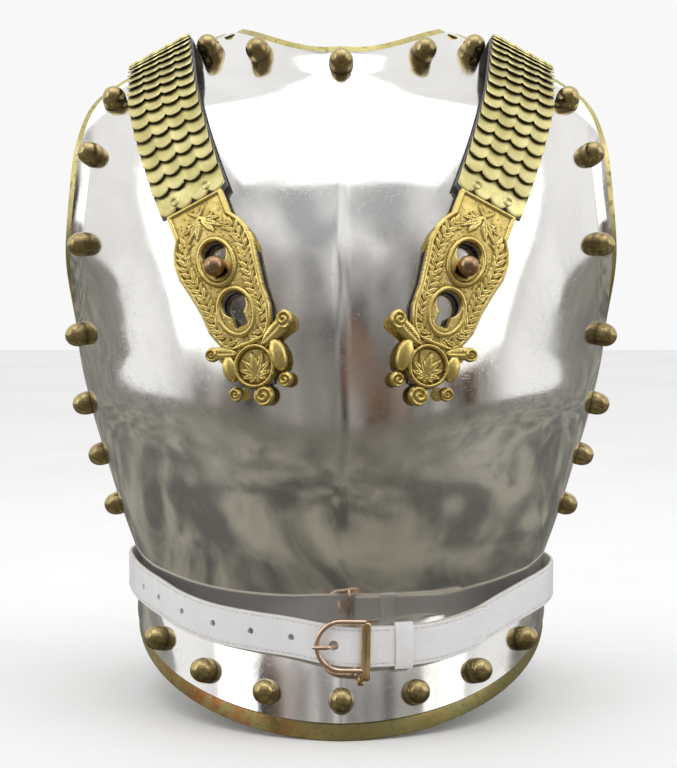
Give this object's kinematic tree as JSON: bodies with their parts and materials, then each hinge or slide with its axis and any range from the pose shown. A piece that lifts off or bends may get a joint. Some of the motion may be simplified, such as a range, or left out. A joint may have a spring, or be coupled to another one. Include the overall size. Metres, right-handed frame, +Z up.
{
  "type": "cuirass",
  "caption": "Polished steel cuirass with a ridged breastplate, plain back plate, brass edging and domed rivets, brass scale shoulder straps with cast keyhole plates, and a white buckled belt.",
  "frame": {"origin": "on the surface it stands on, under the middle of the whole object's bounding box", "axes": "+Z up, -Y towards the front of the breastplate, +X towards the wearer's left"},
  "size_m": [0.3674, 0.3163, 0.4393],
  "materials": {
    "polished_steel": "mirror polished steel with fine hairline scratches",
    "edge_brass": "thin sheet brass, polished, with copper-coloured worn patches",
    "rivet_brass": "domed brass, aged and darkened in the hollows",
    "scale_brass": "pale polished sheet brass",
    "cast_brass": "cast brass in relief, bright on the high parts and dark in the hollows",
    "buckle_gold": "rose-gold plated wire, polished",
    "grey_leather": "grey-brown backing leather, matt",
    "white_leather": "white leather with cream cut edges and white stitching"
  },
  "bodies": {
    "root": {"breast_plate": "polished_steel", "breast_edge_band": "edge_brass", "breast_rivet_01": "rivet_brass", "breast_rivet_02": "rivet_brass", "breast_rivet_03": "rivet_brass", "breast_rivet_04": "rivet_brass", "breast_rivet_05": "rivet_brass", "breast_rivet_06": "rivet_brass", "breast_rivet_07": "rivet_brass", "breast_rivet_08": "rivet_brass", "breast_rivet_09": "rivet_brass", "breast_rivet_10": "rivet_brass", "breast_rivet_11": "rivet_brass", "breast_rivet_12": "rivet_brass", "breast_rivet_13": "rivet_brass", "breast_rivet_14": "rivet_brass", "breast_rivet_15": "rivet_brass", "breast_rivet_16": "rivet_brass", "breast_rivet_17": "rivet_brass", "breast_rivet_18": "rivet_brass", "breast_rivet_19": "rivet_brass", "breast_rivet_20": "rivet_brass", "breast_rivet_21": "rivet_brass", "breast_rivet_22": "rivet_brass", "breast_rivet_23": "rivet_brass", "breast_rivet_24": "rivet_brass", "breast_rivet_25": "rivet_brass", "breast_rivet_26": "rivet_brass", "back_plate": "polished_steel", "back_edge_band": "edge_brass", "strap_leather_left": "grey_leather", "strap_scales_left_1": "scale_brass", "strap_scales_left_2": "scale_brass", "strap_scales_left_3": "scale_brass", "strap_scales_left_4": "scale_brass", "strap_scales_left_5": "scale_brass", "strap_end_plate_left": "cast_brass", "strap_anchor_left": "cast_brass", "strap_stud_left": "rivet_brass", "strap_leather_right": "grey_leather", "strap_scales_right_1": "scale_brass", "strap_scales_right_2": "scale_brass", "strap_scales_right_3": "scale_brass", "strap_scales_right_4": "scale_brass", "strap_scales_right_5": "scale_brass", "strap_end_plate_right": "cast_brass", "strap_anchor_right": "cast_brass", "strap_stud_right": "rivet_brass", "belt_strap": "white_leather", "belt_keeper": "white_leather", "buckle_frame": "buckle_gold", "buckle_prong": "buckle_gold"}
  },
  "joints": []
}
